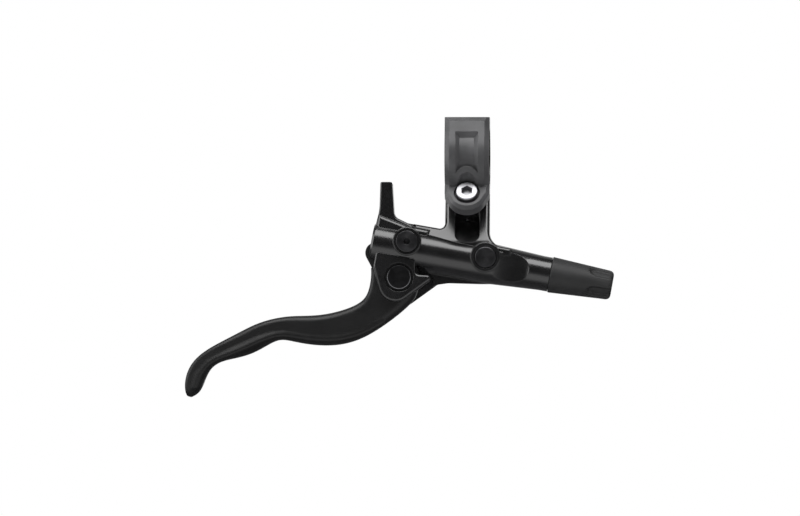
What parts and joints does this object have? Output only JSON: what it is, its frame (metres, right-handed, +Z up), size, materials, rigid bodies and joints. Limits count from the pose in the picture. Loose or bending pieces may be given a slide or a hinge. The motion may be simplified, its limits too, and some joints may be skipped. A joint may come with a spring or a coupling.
{
  "type": "bicycle brake lever",
  "caption": "Hydraulic bicycle brake lever: black housing with a hinged handlebar clamp, a hooked finger blade on a pivot and a booted hose fitting.",
  "frame": {"origin": "centre of the handlebar bore, in the middle of the clamp's width", "axes": "+X along the handlebar towards the hose end, +Z up from the barrel to the clamp, the pictured face looks along -Y"},
  "size_m": [0.1649, 0.0287, 0.1077],
  "materials": {
    "housing_black": "semi-gloss black coat",
    "band_black": "semi-gloss black coat",
    "lever_black": "satin black coat",
    "dark_steel": "blackened",
    "silver_steel": "bright zinc",
    "bush_brass": "machined",
    "piston_plastic": "machined",
    "seal_rubber": "matte",
    "lid_plastic": "fine grain",
    "boot_rubber": "matte"
  },
  "bodies": {
    "housing": {"lever_housing": "housing_black", "clamp_hinge_pin": "dark_steel", "pivot_pin": "dark_steel", "pivot_clip": "dark_steel", "reservoir_diaphragm": "seal_rubber", "reservoir_lid": "lid_plastic", "lid_screws": "dark_steel", "bleed_screw": "dark_steel", "bleed_screw_ring": "seal_rubber", "port_plug": "dark_steel", "hose_cover": "boot_rubber", "hose_connecting_bolt": "dark_steel", "hose_olive": "bush_brass", "piston_stop_ring": "dark_steel", "piston_spring": "silver_steel"},
    "lever": {"lever_blade": "lever_black", "pivot_bush_front": "bush_brass", "pivot_bush_rear": "bush_brass"},
    "rod_carrier": {"rod_barrel": "bush_brass"},
    "rod": {"push_rod": "silver_steel"},
    "piston": {"master_piston": "piston_plastic", "primary_seal": "seal_rubber", "secondary_seal": "seal_rubber"},
    "bolt": {"clamp_bolt": "silver_steel"},
    "band": {"clamp_band": "band_black"}
  },
  "joints": [
    {"name": "lever_pull", "type": "hinge", "parent": "housing", "child": "lever", "pos_m": [-0.0261, -0.002, -0.04618], "axis": [0, 1, 0], "range_deg": [0, 20], "stiffness_Nm_per_rad": 0.6, "springref_deg": -14.32},
    {"name": "rod_swivel", "type": "hinge", "parent": "lever", "child": "rod_carrier", "pos_m": [-0.02606, -0.002, -0.03498], "axis": [0, 1, 0], "range_deg": [-20, 0]},
    {"name": "reach_adjust", "type": "hinge", "parent": "rod_carrier", "child": "rod", "pos_m": [-0.02606, -0.002, -0.03498], "axis": [0.9842, 0, -0.1771], "range_deg": [0, 360]},
    {"name": "piston_stroke", "type": "slide", "parent": "housing", "child": "piston", "axis": [0.9842, 0, -0.1771], "range_m": [0, 0.00389], "deforming": ["piston_spring"]},
    {"name": "clamp_bolt_back_off", "type": "slide", "parent": "housing", "child": "bolt", "axis": [0, -0.809, 0.5878], "range_m": [0, 0.003]},
    {"name": "clamp_open", "type": "hinge", "parent": "housing", "child": "band", "pos_m": [0, 0.00472, 0.01312], "axis": [-1, 0, 0], "range_deg": [0, 4.81]}
  ],
  "couplings": [
    {"joint": "rod_swivel", "follows": "lever_pull", "ratio": -1},
    {"joint": "piston_stroke", "follows": "lever_pull", "m_per_rad": 0.011143},
    {"joint": "clamp_open", "follows": "clamp_bolt_back_off", "rad_per_m": 28}
  ]
}
